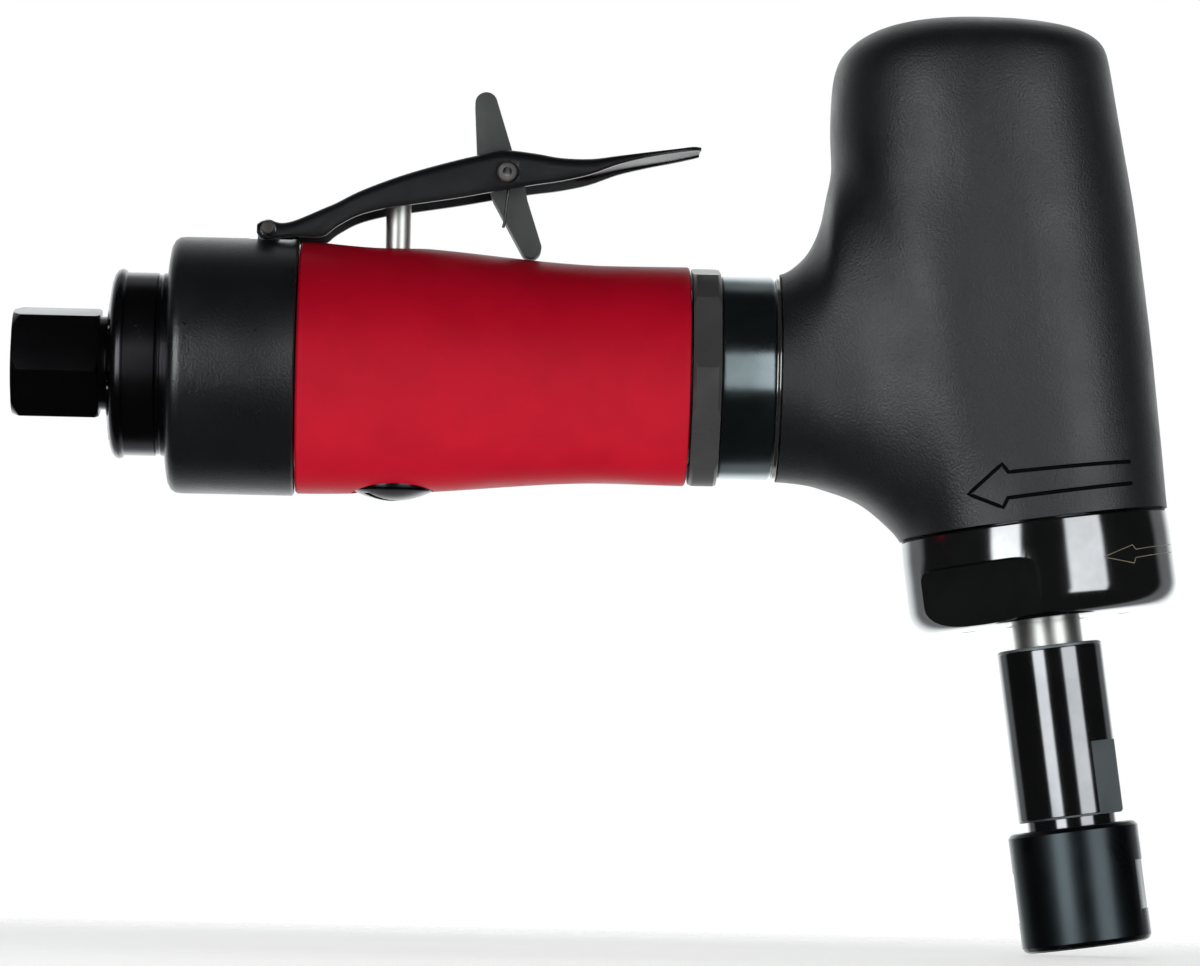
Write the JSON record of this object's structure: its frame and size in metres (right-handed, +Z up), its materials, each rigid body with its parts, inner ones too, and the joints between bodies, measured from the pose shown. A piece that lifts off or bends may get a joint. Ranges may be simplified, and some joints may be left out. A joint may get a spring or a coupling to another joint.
{
  "type": "die grinder",
  "caption": "Pneumatic die grinder with an upright motor head on an in-line handle, a throttle lever with a safety latch, and a collet chuck on an extended spindle.",
  "frame": {"origin": "middle of the overall box; the handle axis is 17.5 mm above it", "axes": "+X along the handle from the air inlet to the head, +Z up towards the top of the motor head, +Y across the handle"},
  "size_m": [0.2004, 0.047, 0.1602],
  "materials": {
    "black_oxide": "black oxide steel, satin",
    "deflector_black": "black anodised, satin",
    "cover_black": "moulded plastic, fine matt texture",
    "grip_red": "moulded grip, satin red",
    "handle_alloy": "machined",
    "lock_nut": "phosphated steel, dark grey",
    "black_gloss": "blackened steel, polished",
    "bright_steel": "bright turned steel",
    "bronze": "turned bronze",
    "seal_rubber": "nitrile rubber",
    "lever_black": "black coated pressed steel",
    "latch_grey": "dark grey sintered steel",
    "housing_black": "composite moulding, fine leathery grain",
    "felt": "pressed felt",
    "vane_phenolic": "phenolic laminate",
    "spring_steel": "drawn spring wire",
    "screen_brass": "fine mesh",
    "nut_black": "black oxide, satin"
  },
  "bodies": {
    "housing": {"inlet_bushing": "black_oxide", "inlet_screen": "screen_brass", "exhaust_deflector": "deflector_black", "muffler_felt": "felt", "rear_cover": "cover_black", "handle_body": "handle_alloy", "grip_sleeve": "grip_red", "lock_nut": "lock_nut", "coupling_ring": "black_gloss", "neck_washer": "bright_steel", "valve_seat": "bronze", "stem_bushing": "bronze", "valve_spring": "spring_steel", "valve_plug": "black_oxide", "lever_pin": "bright_steel", "head_housing": "housing_black", "motor_cylinder": "bright_steel", "rear_end_plate": "bright_steel", "rear_bearing": "bright_steel", "front_end_plate": "bright_steel", "front_bearing": "bright_steel", "nose_cap": "black_gloss"},
    "lever": {"throttle_lever": "lever_black", "latch_pin": "bright_steel", "latch_spring": "spring_steel"},
    "latch": {"safety_latch": "latch_grey"},
    "valve": {"valve_stem": "bright_steel", "valve_seal": "seal_rubber"},
    "spindle": {"rotor_spindle": "bright_steel", "vane_1": "vane_phenolic", "vane_2": "vane_phenolic", "vane_3": "vane_phenolic", "vane_4": "vane_phenolic", "vane_5": "vane_phenolic", "collet_body": "black_gloss", "collet": "bright_steel", "collet_nut": "nut_black"}
  },
  "joints": [
    {"name": "lever_press", "type": "hinge", "parent": "housing", "child": "lever", "pos_m": [-0.05697, 0, 0.04072], "axis": [0, 1, 0], "range_deg": [0, 6]},
    {"name": "latch_release", "type": "hinge", "parent": "lever", "child": "latch", "pos_m": [-0.01637, 0, 0.05122], "axis": [0, -1, 0], "range_deg": [0, 45.5]},
    {"name": "valve_open", "type": "slide", "parent": "housing", "child": "valve", "axis": [0, 0, -1], "range_m": [0, 0.0027], "deforming": ["valve_spring"]},
    {"name": "spindle_spin", "type": "hinge", "parent": "housing", "child": "spindle", "pos_m": [0.07193, 0, 0.01752], "axis": [0.1438, 0, -0.9896], "continuous": true}
  ],
  "couplings": [
    {"joint": "latch_release", "follows": "lever_press", "ratio": 7.5},
    {"joint": "valve_open", "follows": "lever_press", "m_per_rad": 0.0248}
  ]
}
